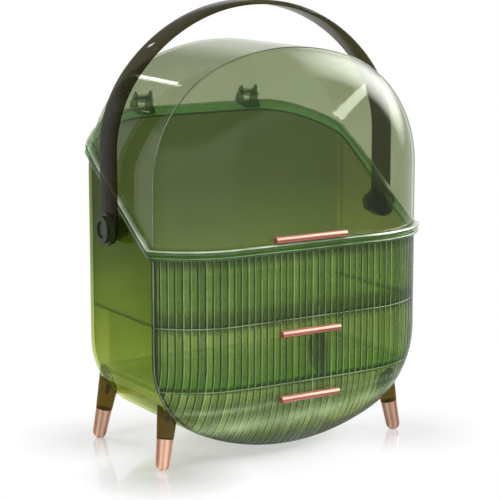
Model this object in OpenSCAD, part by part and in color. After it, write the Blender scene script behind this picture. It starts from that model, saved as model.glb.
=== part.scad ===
// Dustproof makeup organizer: an egg-shaped see-through casing on four
// splayed legs, with a hinged dome lid, a fixed top compartment with a
// fluted bulged front, two fluted drawers and a carrying handle.
// Millimetres. X is the width, -Y is the front, Z is up, feet at Z = 0.

/* [Body] */
// Overall width of the casing
body_w = 300; // [294:1:306]
// Depth of the flat part of the side walls
side_depth = 127.8; // [120:0.2:136]
// How far the front bulges out of its edge
front_bulge = 36; // [33:0.5:39]
// How far the back bulges out of its edge
back_bulge = 42; // [39:0.5:44]
// Distance in from the outline over which the bulge rises
bulge_run = 71.3; // [68:0.1:74]
// Wall thickness of casing and drawer fronts
wall = 3; // [2.6:0.1:3.2]
// Height of the casing's lowest point above the floor
ground_gap = 9.5; // [8:0.5:12]
// Height of the rounded bottom
bottom_h = 100.5; // [98:0.5:103]
// Corner radius of the rounded bottom
bottom_corner = 86; // [84:0.5:88]
// Height of the straight sides
side_h = 165; // [160:1:170]
// Height of the arched top
top_h = 123.5; // [122:0.5:126]
// Corner radius of the arched top
top_corner = 118; // [116:0.5:119]

/* [Rim and lid] */
// Height of the front rim above the floor
rim_front_z = 217; // [212:1:222]
// Rise of the side rims towards the back, in degrees
rim_angle = 34.3; // [33:0.1:35]
// Height of the rim bead
rim_h = 9.5; // [8:0.5:11]
// How far the rim bead stands out of the wall
rim_out = 5; // [4:0.25:5.25]
// Wall thickness of the lid
lid_wall = 2.5; // [2:0.1:2.7]

/* [Drawers] */
// Floor level of the top compartment
tray_z = 143.4; // [141:0.2:146]
// Level of the shelf under the middle drawer
shelf_z = 81; // [79:0.5:83]
// Gap between one front and the next
front_gap = 0.6; // [0.4:0.1:1]
// Wall thickness of the drawer tubs
tub_wall = 2.2; // [2:0.1:2.6]
// Number of flutes across a front
flutes = 45; // [39:2:51]
// Depth of the flutes
flute_depth = 1; // [0.6:0.1:1.4]

/* [Handle] */
// Height of the handle's top above the floor
handle_top = 439.5; // [439:0.5:446]
// Width of the handle band
handle_w = 30; // [26:1:31]
// Thickness of the handle band
handle_t = 4.4; // [4:0.1:4.8]
// Height of the handle's pivot
pivot_z = 227; // [224:1:230]
// Radius of the pivot knobs
knob_r = 16; // [14:0.5:17]
// Radius of the pivot shafts
shaft_r = 4; // [3.5:0.1:5]

/* [Pulls and legs] */
// Length of the pull bar on the lid
lid_bar_l = 80; // [70:1:90]
// Length of the pull bars on the drawers
drawer_bar_l = 66; // [56:1:76]
// Height of a pull bar
bar_h = 6; // [5:0.5:7]
// How far a pull bar stands out
bar_out = 7.2; // [6.5:0.1:8]
// Height of the metal leg caps
cap_h = 31; // [28:1:34]
// Radius of the legs where the caps begin
leg_r = 8.2; // [7.8:0.1:8.6]
// Radius of the hinge pins
pin_r = 1.5; // [1.2:0.1:1.7]

/* [Hidden] */
$fn = 96;

// Small gaps and how far ribs bite into walls and cuts run past what they cut
pin_gap = 0.05;
fit_gap = 0.2;
run_gap = 0.1;
bite = 1;
over = 20;

a = body_w / 2;
z_bot = ground_gap;
z_low = z_bot + bottom_h;
z_high = z_low + side_h;
z_top = z_high + top_h;
hinge_back = 9;
ear_rear = 8;
depth_all = bar_out + front_bulge + side_depth + back_bulge + hinge_back + ear_rear;
yf = -depth_all / 2 + bar_out + front_bulge;
yb = yf + side_depth;

// Corner radii stay a little under the height of their arch
arch_gap = 2;
bottom_r = min(bottom_corner, bottom_h - arch_gap);
top_r = min(top_corner, top_h - arch_gap);

// Crown radius of an arch of half-width w and height h with corner radius r
function crown(w, r, h) = (w * w - 2 * w * r + h * h) / (2 * (h - r));
bot_crown = crown(a, bottom_r, bottom_h);
top_crown = crown(a, top_r, top_h);
bot_cz = z_bot + bot_crown;
top_cz = z_top - top_crown;
bot_ang = atan2(bot_cz - z_low, a - bottom_r);
top_ang = atan2(z_high - top_cz, a - top_r);

// Radius of the bulge's arc, and its height at a distance in from the edge
function arc_r(b) = (bulge_run * bulge_run + b * b) / (2 * b);
function rise(b, t, d) =
  sqrt(pow(arc_r(b) - t, 2) - pow(bulge_run - d, 2)) - (arc_r(b) - b);
function lowest_z(x, t) = bot_cz - sqrt(pow(bot_crown - t, 2) - x * x);

// How far back the middle of the back bulge lies at a height
function back_y(z) = yb + rise(back_bulge, 0, min(bulge_run, z_top - z));

bulge_steps = 6;
split_z = 150;
rim_slope = tan(rim_angle);
rim_break_y = yf + 4.8;
rim_flat_y = yb + back_bulge - bite;
rim_back_z = rim_front_z + rim_slope * (rim_flat_y - rim_break_y);
lid_gap = 0.5;

// Hinge: fin-shaped ears on the collar, with the lid's knuckles between them
hinge_y = back_y(rim_back_z) + hinge_back;
hinge_up = 8;
hinge_z = rim_back_z + hinge_up;
hinge_x = 62.7;
ear_t = 2.4;
ear_x = 8.6;
ear_h = 15;
ear_front = 5;
ear_root = 12;
bridge_down = 0.3;
knuckle_r = 3.4;
knuckle_gap = 0.3;
pin_end = 0.6;

// Drawers, their shelf and their runners
tub_rear_in = 8;
tub_side_in = 10;
tub_rear = yb - tub_rear_in;
tub_x = a - tub_side_in;
tub_corner = 12;
middle_tub_h = 54;
lower_tub_top = shelf_z - 7;
lower_inset = 6;
flange_t = 2.6;
rail_x = 56;
rail_w = 7;
rail_end = 4;
rail_z = lowest_z(rail_x - rail_w / 2, lower_inset) - fit_gap;
rail_foot = lowest_z(rail_x + rail_w / 2, 0) + 0.6;
shelf_t = 2.6;
shelf_gap = 0.35;
ledge_w = 4;
ledge_t = 2.5;
ledge_end = 2;

// Pull bars and their screws
lid_bar_up = 4;
middle_bar_down = 13.4;
lower_bar_down = 15;
bar_screw_r = 1.25;
bar_screw_in = 12;
bar_screw_bite = 4.4;
bar_head_r = 2.2;
bar_head_t = 1.3;
head_gap = 0.5;

// Handle, its pivots and knobs
boss_r = 11;
boss_out = 5.9;
pivot_in = 69.8;
pivot_y = yf + pivot_in;
arm_x = a + boss_out + fit_gap;
spring_up = 25;
handle_spring = z_high + spring_up;
handle_corner = 120;
knob_t = 3;
knob_step = 3;
knob_all_t = 6.4;
knob_dish = 2;
nut_r = 9;
nut_t = 5;
nut_bore = 3.2;

// Legs, their caps and screws
leg_side_in = 15;
leg_front_in = 10.8;
leg_rear_out = 14;
leg_x = a - leg_side_in;
leg_yf = yf + leg_front_in;
leg_yr = yb + leg_rear_out;
splay_x = 9.5;
splay_y = 5.5;
leg_top = 74;
leg_top_r = 11.4;
foot_r = 6.9;
foot_flat = 0.5;
spigot_r = 5;
spigot_l = 10;
leg_screw_r = 1.95;
leg_screw_z = 40;
leg_screw_l = 40;

// Half width of the outline drawn in by t, at a height on its sides or lower corners
function outline_x(z, t) = z >= z_low ? a - t
  : a - bottom_r + sqrt(pow(bottom_r - t, 2) - pow(z_low - z, 2));

// Height of the outline's underside at x
function outline_z(x) = let (u = abs(x) - (a - bottom_r))
  u < bottom_r * cos(bot_ang) ? lowest_z(x, 0) : z_low - sqrt(pow(bottom_r, 2) - u * u);

// Pull bars: 0 on the lid, 1 on the middle drawer, 2 on the lower drawer
function bar_z(i) = i == 0 ? rim_front_z + lid_bar_up
  : i == 1 ? tray_z - middle_bar_down : shelf_z - lower_bar_down;
function front_at(i, dz) = i == 0 ? yf - front_bulge + lid_gap
  : i == 1 ? yf - front_bulge : yf - rise(front_bulge, 0, bar_z(2) + dz - z_bot);
function bar_y(i) = front_at(i, 0);
lean_at_bar = atan((front_at(2, -bite) - front_at(2, bite)) / (2 * bite));
function bar_seat(i, dz) = front_at(i, dz) - bar_y(i);

// The egg body

// Points along an arc, leaving out its last point unless last is 1
function arc(x, y, r, a0, a1, n, last) =
  [for (i = [0:n - 1 + last]) let (q = a0 + (a1 - a0) * i / n) [x + r * cos(q), y + r * sin(q)]];

// Parts of the egg outline in the XZ plane, drawn in by t
function bottom_pts(t) = arc(0, bot_cz, bot_crown - t, bot_ang - 180, -bot_ang, 8, 0);
function low_right_pts(t) = arc(a - bottom_r, z_low, bottom_r - t, -bot_ang, 0, 7, 1);
function low_left_pts(t) = arc(bottom_r - a, z_low, bottom_r - t, 180, 180 + bot_ang, 7, 0);
function upper_pts(t) = concat(
  arc(a - top_r, z_high, top_r - t, 0, top_ang, 8, 0),
  arc(0, top_cz, top_crown - t, top_ang, 180 - top_ang, 6, 0),
  arc(top_r - a, z_high, top_r - t, 180 - top_ang, 180, 8, 1));

// The whole outline, or only its part below the sides, below split_z or above split_z
function egg_pts(part, t) = concat(
  part == "high" ? [[a - t, split_z]] : concat(bottom_pts(t), low_right_pts(t)),
  part == "low" ? [] : part == "mid" ? [[a - t, split_z], [t - a, split_z]] : upper_pts(t),
  part == "high" ? [[t - a, split_z]] : low_left_pts(t));

// Skin over a row of rings that have the same number of points
module skin(rings) {
  n = len(rings[0]);
  m = len(rings);
  polyhedron(
    points = [for (r = rings) each r],
    faces = concat(
      [[for (i = [n - 1:-1:0]) i]],
      [for (j = [0:m - 2], i = [0:n - 1])
        [j * n + i, j * n + (i + 1) % n, (j + 1) * n + (i + 1) % n, (j + 1) * n + i]],
      [[for (i = [0:n - 1]) (m - 1) * n + i]]));
}

// First rings of a bulge, n of its steps from the edge inwards; s is -1 in front, 1 at the back
function bulge_rings(part, b, t, s, n = bulge_steps) = [for (i = [0:n])
  let (d = t + (bulge_run - t) * (1 - cos(90 * i / bulge_steps)), h = rise(b, t, d))
  [for (p = egg_pts(part, d)) [p[0], (s < 0 ? yf : yb) + s * h, p[1]]]];

function flat_ring(part, t, y) = [for (p = egg_pts(part, t)) [p[0], y, p[1]]];
function turned(v) = [for (i = [len(v) - 1:-1:0]) v[i]];

module front_bulge_solid(part, t) {
  skin(turned(bulge_rings(part, front_bulge, t, -1)));
}

// The whole body drawn in by t
module pod(part, t) {
  skin(concat(turned(bulge_rings(part, front_bulge, t, -1)), bulge_rings(part, back_bulge, t, 1)));
}

// The body without its back bulge, ending at y1
module pod_front(part, t, y1) {
  skin(concat(turned(bulge_rings(part, front_bulge, t, -1)), [flat_ring(part, t, y1)]));
}

// The body without its front bulge, starting at y0; n steps of the back bulge
module pod_back(part, t, y0, n = bulge_steps) {
  skin(concat([flat_ring(part, t, y0)], bulge_rings(part, back_bulge, t, 1, n)));
}

module level(z0, z1) {
  translate([-body_w, -body_w, z0]) cube([2 * body_w, 2 * body_w, z1 - z0]);
}

// All space above the rim line moved down by dz
module above_rim(dz) {
  translate([-body_w, 0, 0]) rotate([90, 0, 90]) linear_extrude(2 * body_w)
    polygon([[-body_w, rim_front_z - dz], [rim_break_y, rim_front_z - dz],
      [rim_flat_y, rim_back_z - dz], [body_w, rim_back_z - dz],
      [body_w, z_top + body_w], [-body_w, z_top + body_w]]);
}

// Casing, collar, tray and shelf

module pivot_axis(side, x0, x1, r) {
  translate([side * x0, pivot_y, pivot_z]) rotate([0, side * 90, 0])
    cylinder(r = r, h = x1 - x0);
}

// Ledges along both side walls, with their top at z1
module ledges(z1) {
  x = outline_x(z1 - ledge_t, wall);
  for (s = [0, 1]) mirror([s, 0, 0])
    translate([x - ledge_w, yf + ledge_end, z1 - ledge_t])
      cube([ledge_w + bite, side_depth - 2 * ledge_end, ledge_t]);
}

module casing() {
  color([0.36, 0.46, 0.2])
  difference() {
    union() {
      difference() {
        pod_back("all", 0, yf);
        pod_back("all", wall, yf - bite);
        above_rim(rim_h);
      }
      ledges(tray_z);
      ledges(shelf_z - shelf_t);
      for (s = [-1, 1]) {
        translate([s * rail_x - rail_w / 2, yf + rail_end, rail_foot])
          cube([rail_w, side_depth - 2 * rail_end, rail_z - run_gap - rail_foot]);
        pivot_axis(s, a - bite, arm_x - fit_gap, boss_r);
      }
    }
    for (s = [-1, 1])
      pivot_axis(s, a - wall - bite, arm_x + bite, shaft_r + pin_gap);
    for (sx = [-1, 1], f = [0, 1])
      leg_screw_hole(sx, f);
  }
}

module rim_collar() {
  color([0.3, 0.42, 0.2])
  difference() {
    union() {
      difference() {
        intersection() {
          pod("high", -rim_out);
          above_rim(rim_h);
        }
        above_rim(0);
        difference() {
          above_rim(rim_h * 0.68);
          above_rim(rim_h * 0.47);
          pod("high", -rim_out / 2);
        }
      }
      for (s = [-1, 1]) {
        hinge_plate(s * hinge_x - ear_x - ear_t / 2, 2 * ear_x + ear_t) bridge_outline();
        for (e = [-1, 1])
          hinge_plate(s * hinge_x + e * ear_x - ear_t / 2, ear_t) ear_outline();
      }
    }
    pod("high", wall);
    hinge_bores(pin_r);
  }
}

// An outline at the back of the rim, made as thick as its width along X
module hinge_plate(x, width) {
  translate([x, hinge_y, rim_back_z]) rotate([90, 0, 90]) linear_extrude(width) children();
}

// Root that joins a pair of ears to the collar and stays under the rim line
module bridge_outline() {
  root_u = -ear_front - ear_root;
  flat_u = rim_flat_y - hinge_y;
  polygon([[root_u, bite - rim_h], [-ear_front, bite - rim_h], [ear_rear, -4],
    [ear_rear, -bridge_down], [flat_u, -bridge_down],
    [root_u, rim_slope * (root_u - flat_u) - bridge_down]]);
}

// Fin with an upright front edge and a sloping back
module ear_outline() {
  polygon([[-ear_front, -ear_front], [ear_rear, -0.2 * ear_h], [ear_rear, 0.17 * ear_h],
    [-0.1 * ear_h, 0.96 * ear_h], [-0.27 * ear_h, ear_h], [-ear_front, 0.9 * ear_h]]);
}

module hinge_bores(r) {
  for (s = [-1, 1])
    translate([s * hinge_x - over, hinge_y, hinge_z]) rotate([0, 90, 0]) cylinder(r = r, h = 2 * over);
}

module top_tray() {
  color([0.42, 0.58, 0.34])
  translate([0, 0, tray_z]) {
    linear_extrude(wall) {
      polygon(half_plan(front_bulge, wall - bite, -1));
      polygon(concat([[wall + fit_gap - a, yf]], half_plan(back_bulge, wall + fit_gap, 1),
        [[a - wall - fit_gap, yf]]));
    }
    linear_extrude(rim_front_z - rim_h - tray_z) difference() {
      polygon(front_pts());
      polygon(concat(half_plan(front_bulge, wall, -1), [[a - wall, yf + bite], [wall - a, yf + bite]]));
    }
  }
}

module divider_shelf() {
  color([0.42, 0.56, 0.34])
  translate([0, yb - bite, 0]) rotate([90, 0, 0]) linear_extrude(side_depth - bite) {
    x0 = outline_x(shelf_z - shelf_t, wall) - shelf_gap;
    x1 = outline_x(shelf_z, wall) - shelf_gap;
    polygon([[-x0, shelf_z - shelf_t], [x0, shelf_z - shelf_t], [x1, shelf_z], [-x1, shelf_z]]);
  }
}

// Fluted fronts

flat_half = a - bulge_run;
front_r = arc_r(front_bulge);
run_len = 2 * front_r * asin(bulge_run / front_r) * PI / 180 + 2 * flat_half;

// Point on the front's plan curve at s from the middle, moved in by c
function plan_pt(s, c) =
  abs(s) <= flat_half
    ? [s, yf - front_bulge + c]
    : let (q = (abs(s) - flat_half) / front_r * 180 / PI)
      [sign(s) * (flat_half + (front_r - c) * sin(q)),
        yf - front_bulge + front_r - (front_r - c) * cos(q)];

// Three points to a flute: one in its groove and two on its rib
function flute_s(i) = run_len * (i / (flutes * 3) - 0.5);
function flute_cut(i) = i % 3 == 0 ? flute_depth : 0;

// Outline of the fluted bulge in plan, where its sides are straight
function front_pts() = concat([[flute_depth - a, yf]],
  [for (i = [0:flutes * 3]) let (p = plan_pt(flute_s(i), flute_cut(i))) [p[0], min(p[1], yf)]],
  [[a - flute_depth, yf]]);

// Plan outline of a smooth bulge drawn in by t, from its left edge to its right edge
function half_plan(b, t, s) = let (right = [for (i = [bulge_steps:-1:0])
    let (d = t + (bulge_run - t) * (1 - cos(90 * i / bulge_steps)))
    [a - d, (s < 0 ? yf : yb) + s * rise(b, t, d)]])
  concat([for (p = turned(right)) [-p[0], p[1]]], right);

// How far a point of the front lies inside the outline, up to the flat middle
function depth_in(x, z) = let (
  u = abs(x) - (a - bottom_r),
  v = z_low - z,
  corner = u * (bot_cz - z_low) > v * (a - bottom_r),
  d = v <= 0 ? a - abs(x) : corner ? bottom_r - norm([u, v]) : bot_crown - norm([x, bot_cz - z]))
  max(0, min(bulge_run, d));

function front_y(x, z, c) = min(yf - 0.1, yf - rise(front_bulge, 0, depth_in(x, z)) + c);

// Solid behind a fluted stretch of the front; each flute runs down and under in its own plane
module fluted_solid(z0, z1, n) {
  x_end = min(a - 0.3, outline_x(z1 - 1.5, 0));
  inner = [for (i = [0:flutes * 3]) let (x = plan_pt(flute_s(i), 0)[0]) if (abs(x) < x_end - 0.4)
    [x, flute_cut(i)]];
  skin([for (p = concat([[-x_end, 0]], inner, [[x_end, 0]]))
    let (x = p[0], low = max(z0, outline_z(x)))
    concat([[x, yf, low]],
      [for (j = [0:n]) let (z = low + (z1 - low) * (1 - cos(90 * j / n))) [x, front_y(x, z, p[1]), z]],
      [[x, yf, z1]])]);
}

// Drawers

// Rounded drawer tub in plan, from the front curve back to tub_rear
module tub_plan(t) {
  r = tub_corner - t;
  x = tub_x - tub_corner;
  translate([t - tub_x, yf - front_bulge])
    square([2 * (tub_x - t), tub_rear - tub_corner - yf + front_bulge]);
  translate([-x, yf]) square([2 * x, tub_rear - t - yf]);
  for (s = [-1, 1])
    translate([s * x, tub_rear - tub_corner]) circle(r = r);
}

module bar_holes(i, l) {
  for (s = [-1, 1])
    translate([s * (l / 2 - bar_screw_in), bar_y(i) + over / 2, bar_z(i)]) rotate([90, 0, 0])
      cylinder(r = bar_screw_r + pin_gap, h = over / 2 + bar_screw_bite + bite / 2);
}

module middle_drawer() {
  color([0.44, 0.62, 0.36])
  difference() {
    union() {
      difference() {
        fluted_solid(shelf_z + 0.5, tray_z - front_gap / 2, 5);
        front_bulge_solid("mid", wall);
      }
      intersection() {
        translate([0, 0, shelf_z]) linear_extrude(middle_tub_h) tub_plan(0);
        pod_front("mid", wall / 2, yb);
      }
    }
    intersection() {
      translate([0, 0, shelf_z + tub_wall]) linear_extrude(middle_tub_h + over) tub_plan(tub_wall);
      pod_front("mid", wall, yb);
    }
    bar_holes(1, drawer_bar_l);
  }
}

// Prism of the outline's lower part, drawn in by t
module low_prism(t, y0, y1) {
  translate([0, y1, 0]) rotate([90, 0, 0]) linear_extrude(y1 - y0) polygon(egg_pts("low", t));
}

module lower_drawer() {
  rail_roof = lowest_z(rail_x + rail_w / 2, lower_inset) + bite / 2;
  color([0.4, 0.58, 0.34])
  difference() {
    union() {
      difference() {
        fluted_solid(z_bot - 1, shelf_z + 0.5 - front_gap, 8);
        front_bulge_solid("low", wall);
      }
      intersection() {
        difference() {
          union() {
            low_prism(lower_inset, yf - flange_t, tub_rear);
            low_prism(wall + bite / 2, yf - flange_t, yf);
          }
          low_prism(lower_inset + tub_wall, yf - flange_t - bite, tub_rear - tub_wall);
        }
        level(0, lower_tub_top);
      }
      for (s = [-1, 1])
        translate([s * rail_x - rail_w / 2, yf + 2 * rail_end, rail_z])
          cube([rail_w, tub_rear - yf - 3 * rail_end, rail_roof - rail_z]);
    }
    bar_holes(2, drawer_bar_l);
  }
}

// Lid

module lid() {
  knuckle_l = 2 * (ear_x - knuckle_gap) - ear_t;
  arm_l = hinge_back + ear_root;
  color([0.6, 0.66, 0.5])
  difference() {
    union() {
      intersection() {
        pod("high", lid_gap);
        above_rim(0);
      }
      for (s = [-1, 1])
        translate([s * hinge_x - knuckle_l / 2, hinge_y, hinge_z]) {
          translate([0, -arm_l, -knuckle_r]) cube([knuckle_l, arm_l, knuckle_r]);
          rotate([0, 90, 0]) cylinder(r = knuckle_r, h = knuckle_l);
        }
    }
    pod("high", lid_gap + lid_wall);
    hinge_bores(pin_r + pin_gap);
    bar_holes(0, lid_bar_l);
  }
}

module hinge_pin(s) {
  color([0.8, 0.82, 0.8])
  translate([s * hinge_x - ear_x - ear_t / 2 - pin_end, hinge_y, hinge_z]) rotate([0, 90, 0])
    cylinder(r = pin_r, h = 2 * (ear_x + pin_end) + ear_t);
}

module hinge_pin_left() { hinge_pin(-1); }
module hinge_pin_right() { hinge_pin(1); }

// Pull bars

// Round-nosed bar, nose towards -Y, whose back follows the front that it sits on
module pull_bar(i, l) {
  nose = bar_h / 2 - bar_out;
  color([0.86, 0.55, 0.47])
  difference() {
    translate([-l / 2, bar_y(i), bar_z(i)]) rotate([90, 0, 90]) linear_extrude(l) {
      translate([nose, 0]) circle(r = bar_h / 2);
      polygon([[nose, -bar_h / 2], [bar_seat(i, -bar_h / 2), -bar_h / 2],
        [bar_seat(i, bar_h / 2), bar_h / 2], [nose, bar_h / 2]]);
    }
    bar_holes(i, l);
  }
}

module lid_bar() { pull_bar(0, lid_bar_l); }
module middle_drawer_bar() { pull_bar(1, drawer_bar_l); }
module lower_drawer_bar() { pull_bar(2, drawer_bar_l); }

// Two screws from inside the front into a pull bar
module bar_screws(i, l) {
  seat = wall / cos(lean_at_bar) + bar_head_r * tan(lean_at_bar) + head_gap;
  y_in = bar_y(i) + (i == 0 ? lid_wall : i == 1 ? wall : seat);
  color([0.75, 0.75, 0.74])
  for (s = [-1, 1])
    translate([s * (l / 2 - bar_screw_in), y_in, bar_z(i)]) rotate([90, 0, 0]) {
      translate([0, 0, -bar_head_t]) cylinder(r = bar_head_r, h = bar_head_t);
      cylinder(r = bar_screw_r, h = y_in - bar_y(i) + bar_screw_bite);
    }
}

module lid_bar_screws() { bar_screws(0, lid_bar_l); }
module middle_bar_screws() { bar_screws(1, drawer_bar_l); }
module lower_bar_screws() { bar_screws(2, drawer_bar_l); }

// Handle

handle_hw = arm_x + handle_t;
handle_h = handle_top - handle_spring;
handle_r = min(handle_corner, handle_h - arch_gap);
handle_crown = crown(handle_hw, handle_r, handle_h);
handle_cz = handle_top - handle_crown;
handle_ang = atan2(handle_spring - handle_cz, handle_hw - handle_r);

function handle_pts(t) = concat(
  [[t - handle_hw, pivot_z], [handle_hw - t, pivot_z]],
  arc(handle_hw - handle_r, handle_spring, handle_r - t, 0, handle_ang, 8, 0),
  arc(0, handle_cz, handle_crown - t, handle_ang, 180 - handle_ang, 12, 0),
  arc(handle_r - handle_hw, handle_spring, handle_r - t, 180 - handle_ang, 180, 8, 1));

module handle() {
  color([0.24, 0.21, 0.14])
  difference() {
    union() {
      translate([0, pivot_y + handle_w / 2, 0]) rotate([90, 0, 0])
        linear_extrude(handle_w) difference() {
          polygon(handle_pts(0));
          polygon(handle_pts(handle_t));
        }
      for (s = [-1, 1])
        pivot_axis(s, arm_x, arm_x + handle_t, handle_w / 2);
    }
    for (s = [-1, 1])
      pivot_axis(s, arm_x - bite, arm_x + handle_t + bite, shaft_r + pin_gap);
  }
}

module knob(s) {
  x = arm_x + handle_t + fit_gap;
  color([0.2, 0.22, 0.12])
  difference() {
    union() {
      pivot_axis(s, a - wall - nut_bore + fit_gap, x + bite, shaft_r);
      pivot_axis(s, x, x + knob_t, knob_r);
      pivot_axis(s, x + bite, x + knob_all_t, knob_r - knob_step);
    }
    pivot_axis(s, x + knob_all_t - knob_dish, x + knob_all_t + bite, knob_r * 0.53);
  }
}

module knob_left() { knob(-1); }
module knob_right() { knob(1); }

module pivot_nut(s) {
  color([0.3, 0.34, 0.2])
  difference() {
    pivot_axis(s, a - wall - nut_t, a - wall, nut_r);
    pivot_axis(s, a - wall - nut_bore, a - wall + bite, shaft_r + pin_gap);
  }
}

module pivot_nut_left() { pivot_nut(-1); }
module pivot_nut_right() { pivot_nut(1); }

// Legs

// Frame of a leg: origin at the foot's centre, Z up the leaning axis
module leg_axis(sx, f) {
  y = f == 0 ? leg_yf : leg_yr;
  translate([sx * leg_x, y, foot_r - foot_flat])
    rotate([f == 0 ? -splay_y : splay_y, -sx * splay_x, 0])
      children();
}

module leg_screw_hole(sx, f) {
  leg_axis(sx, f) translate([0, 0, leg_screw_z])
    cylinder(r = leg_screw_r + pin_gap, h = leg_screw_l + over);
}

module leg(sx, f) {
  color([0.45, 0.45, 0.12])
  difference() {
    leg_axis(sx, f) {
      translate([0, 0, cap_h - foot_r]) cylinder(r1 = leg_r, r2 = leg_top_r, h = leg_top - cap_h);
      translate([0, 0, cap_h - foot_r - spigot_l]) cylinder(r = spigot_r, h = spigot_l + bite);
    }
    pod_back("low", 0, yf, 3);
    leg_screw_hole(sx, f);
  }
}

module cap(sx, f) {
  color([0.82, 0.58, 0.45])
  intersection() {
    leg_axis(sx, f)
      difference() {
        union() {
          sphere(r = foot_r);
          cylinder(r1 = foot_r, r2 = leg_r, h = cap_h - foot_r);
        }
        translate([0, 0, cap_h - foot_r - spigot_l - fit_gap])
          cylinder(r = spigot_r + pin_gap, h = spigot_l + bite);
      }
    level(0, 2 * cap_h);
  }
}

module leg_front_left() { leg(-1, 0); }
module leg_front_right() { leg(1, 0); }
module leg_rear_left() { leg(-1, 1); }
module leg_rear_right() { leg(1, 1); }
module cap_front_left() { cap(-1, 0); }
module cap_front_right() { cap(1, 0); }
module cap_rear_left() { cap(-1, 1); }
module cap_rear_right() { cap(1, 1); }

// Four alike screws from inside the casing into the legs
module leg_screws() {
  color([0.75, 0.75, 0.74])
  difference() {
    for (sx = [-1, 1], f = [0, 1])
      leg_axis(sx, f) translate([0, 0, leg_screw_z + fit_gap])
        cylinder(r = leg_screw_r, h = leg_screw_l);
    pod_back("low", wall - fit_gap, yf - bite, 3);
  }
}

casing();
rim_collar();
top_tray();
divider_shelf();
middle_drawer();
lower_drawer();
lid();
lid_bar();
middle_drawer_bar();
lower_drawer_bar();
lid_bar_screws();
middle_bar_screws();
lower_bar_screws();
hinge_pin_left();
hinge_pin_right();
handle();
knob_left();
knob_right();
pivot_nut_left();
pivot_nut_right();
leg_front_left();
leg_front_right();
leg_rear_left();
leg_rear_right();
cap_front_left();
cap_front_right();
cap_rear_left();
cap_rear_right();
leg_screws();
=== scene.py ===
import math

import bmesh
import bpy
from mathutils import Matrix, Vector


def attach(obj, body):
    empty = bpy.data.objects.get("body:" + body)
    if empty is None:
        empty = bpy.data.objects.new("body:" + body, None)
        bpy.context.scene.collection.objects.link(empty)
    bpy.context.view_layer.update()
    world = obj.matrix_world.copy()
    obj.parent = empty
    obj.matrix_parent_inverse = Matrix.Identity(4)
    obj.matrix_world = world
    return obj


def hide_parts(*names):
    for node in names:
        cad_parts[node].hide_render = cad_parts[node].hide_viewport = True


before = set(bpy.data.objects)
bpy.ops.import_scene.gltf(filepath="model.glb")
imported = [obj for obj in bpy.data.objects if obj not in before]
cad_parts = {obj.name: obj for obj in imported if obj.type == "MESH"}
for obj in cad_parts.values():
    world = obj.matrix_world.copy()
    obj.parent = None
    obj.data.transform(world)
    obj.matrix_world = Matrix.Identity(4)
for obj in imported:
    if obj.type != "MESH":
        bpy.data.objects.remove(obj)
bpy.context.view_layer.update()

SCENE = bpy.context.scene
SIDES = (("left", -1), ("right", 1))
MERGE = 1e-7

# The egg-shaped body, in metres: x to the right, y to the back, z up
HALF_W = 0.150
Z_BOTTOM = 0.0095
BOTTOM_H = 0.1005
BOTTOM_CORNER = 0.086
SIDE_H = 0.165
TOP_H = 0.1235
TOP_CORNER = 0.118
Y_FRONT = -0.0718
Y_BACK = 0.056
FRONT_BULGE = 0.036
BACK_BULGE = 0.042
BULGE_RUN = 0.0713
WALL = 0.003
LID_GAP = 0.0005
LID_WALL = 0.0025

# The rim: level in front, then slanted up to a level back
RIM_Z = 0.217
RIM_BREAK_Y = -0.067
RIM_SLOPE = math.tan(math.radians(34.3))
RIM_FLAT_Y = 0.097
RIM_BACK_Z = RIM_Z + RIM_SLOPE * (RIM_FLAT_Y - RIM_BREAK_Y)
RIM_H = 0.0095
RIM_OUT = 0.005

# Compartment floor, shelf and tubs
TRAY_Z = 0.1434
SHELF_Z = 0.081
SHELF_T = 0.0026
FRONT_GAP = 0.0006
TUB_WALL = 0.0022
TUB_X = 0.140
TUB_REAR = 0.048
TUB_CORNER = 0.012
LOWER_INSET = 0.006

# Steps that the stretches of the outline are drawn with
BOTTOM_STEPS = 28
LOW_CORNER_STEPS = 18
WALL_STEPS = 12
TOP_STEPS = 24


def crown(w, r, h):
    """Radius of an arch's middle arc, from its half width, corner radius and height."""
    return (w * w - 2 * w * r + h * h) / (2 * (h - r))


Z_LOW = Z_BOTTOM + BOTTOM_H
Z_HIGH = Z_LOW + SIDE_H
Z_TOP = Z_HIGH + TOP_H
BOTTOM_CROWN = crown(HALF_W, BOTTOM_CORNER, BOTTOM_H)
TOP_CROWN = crown(HALF_W, TOP_CORNER, TOP_H)
BOTTOM_CZ = Z_BOTTOM + BOTTOM_CROWN
TOP_CZ = Z_TOP - TOP_CROWN
BOTTOM_ANGLE = math.atan2(BOTTOM_CZ - Z_LOW, HALF_W - BOTTOM_CORNER)
TOP_ANGLE = math.atan2(Z_HIGH - TOP_CZ, HALF_W - TOP_CORNER)


def bulge_radius(bulge):
    """Radius of the arc by which a bulge of this height rises from the outline."""
    return (BULGE_RUN ** 2 + bulge ** 2) / (2 * bulge)


def rise(bulge, inset, depth):
    """Height of a bulge, drawn in by inset, at a depth in from the outline."""
    depth = min(max(depth, inset), BULGE_RUN)
    r = bulge_radius(bulge)
    return math.sqrt((r - inset) ** 2 - (BULGE_RUN - depth) ** 2) - (r - bulge)


def bulge_y(bulge, inset, side, depth):
    """Y of a bulge at a depth in from the outline; side is -1 in front and 1 at the back."""
    return (Y_FRONT if side < 0 else Y_BACK) + side * rise(bulge, inset, depth)


def eased(i, steps):
    """Share from 0 to 1 that grows slowly at first, as a bulge is steep at its edge."""
    return 1 - math.cos(math.pi / 2 * i / steps)


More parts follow.
